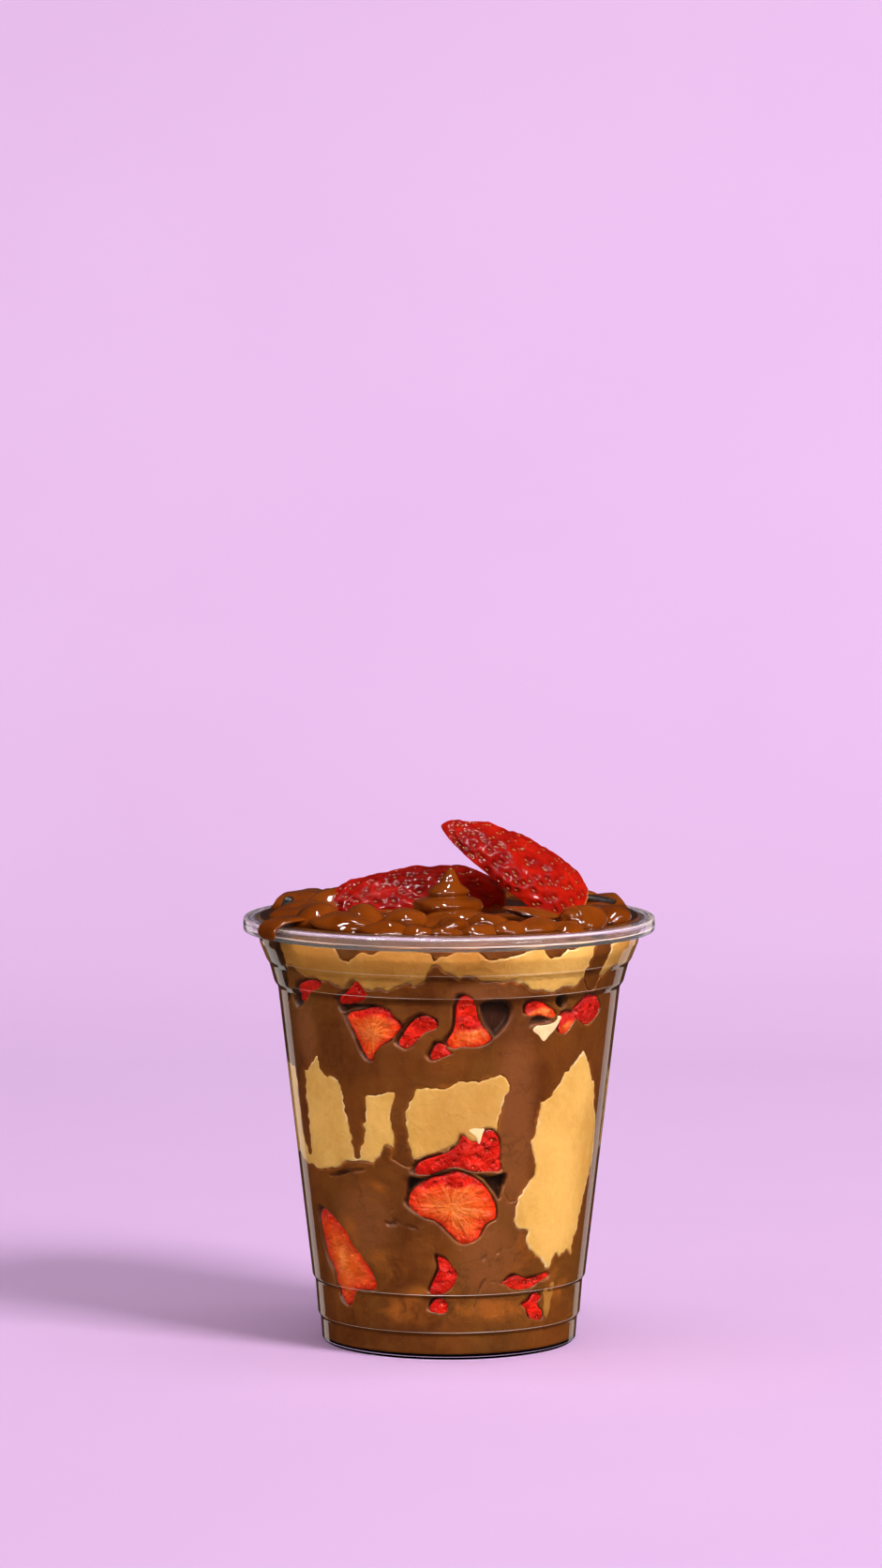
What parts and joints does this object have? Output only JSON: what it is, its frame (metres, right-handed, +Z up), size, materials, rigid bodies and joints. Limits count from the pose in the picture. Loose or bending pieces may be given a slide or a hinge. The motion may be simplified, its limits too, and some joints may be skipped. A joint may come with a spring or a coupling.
{
  "type": "layered strawberry and chocolate dessert cup",
  "caption": "Clear tapered plastic cup filled with strawberries, chocolate sauce and pale cream in layers, with folded sauce, a piped peak and strawberry halves on top.",
  "frame": {"origin": "middle of the cup's foot, on the surface it stands on", "axes": "+Z up along the cup's axis, -Y towards the front of the picture, +X to the right of the picture"},
  "size_m": [0.098, 0.098, 0.1241],
  "materials": {
    "clear_plastic": "clear and glossy",
    "chocolate_sauce": "glossy milk chocolate sauce with small pits",
    "cream": "smooth tan cream, half matt",
    "strawberry": "wet red skin with seeds, paler orange flesh where cut",
    "dark_chocolate": "dark chocolate, half gloss"
  },
  "bodies": {
    "root": {"cup": "clear_plastic", "chocolate_base": "chocolate_sauce", "cream_middle": "cream", "chocolate_middle": "chocolate_sauce", "cream_upper": "cream", "chocolate_topping": "chocolate_sauce", "berry_front_centre": "strawberry", "berry_front_centre_upper": "strawberry", "berry_front_left_low": "strawberry", "berry_front_low_centre": "strawberry", "berry_front_foot_centre": "strawberry", "berry_front_low_right": "strawberry", "berry_front_foot_right": "strawberry", "berry_upper_left": "strawberry", "berry_upper_flat": "strawberry", "berry_upper_wedge": "strawberry", "berry_upper_kidney": "strawberry", "berry_upper_tall": "strawberry", "berry_upper_pointed": "strawberry", "berry_upper_pale": "strawberry", "berry_upper_small": "strawberry", "berry_upper_right": "strawberry", "berry_back_1": "strawberry", "berry_back_2": "strawberry", "berry_back_3": "strawberry", "berry_back_4": "strawberry", "berry_back_5": "strawberry", "strawberry_leaning": "strawberry", "strawberry_lying": "strawberry", "shard_right": "dark_chocolate", "shard_left": "dark_chocolate"}
  },
  "joints": []
}
